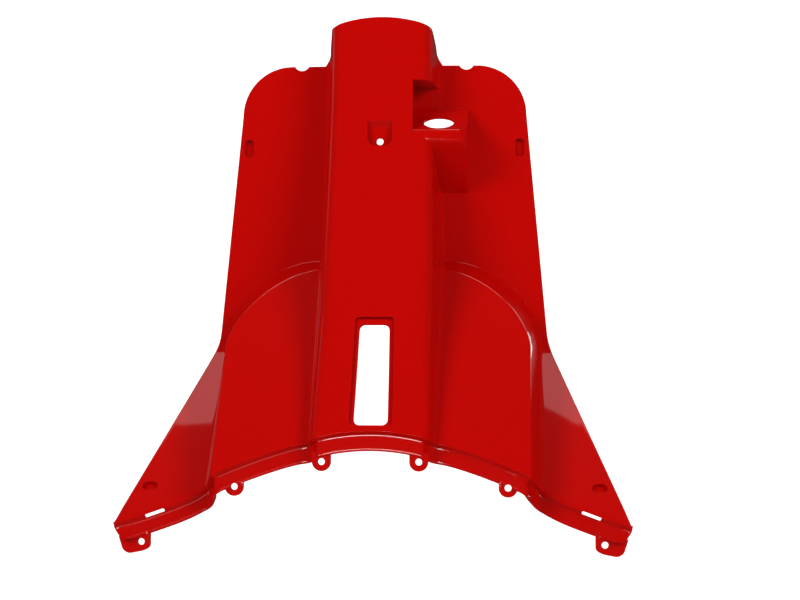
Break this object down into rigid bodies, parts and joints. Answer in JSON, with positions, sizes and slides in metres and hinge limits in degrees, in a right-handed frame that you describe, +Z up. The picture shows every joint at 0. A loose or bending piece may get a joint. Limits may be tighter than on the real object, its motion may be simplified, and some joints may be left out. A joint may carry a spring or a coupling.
{
  "type": "scooter leg shield",
  "caption": "Glossy red moulded inner leg shield for a small scooter, with a steering column, side wings, flared foot area, lock shelf and screw ears.",
  "frame": {"origin": "middle of the column screw's hole on its seat in the screw pocket", "axes": "+Z up along the flat of the wings, -Y toward the rider, +X to the right as the rider sees it"},
  "size_m": [0.4946, 0.1692, 0.5413],
  "materials": {
    "red_paint": "high-gloss red paint on moulded plastic"
  },
  "bodies": {
    "root": {"leg_shield": "red_paint"}
  },
  "joints": []
}
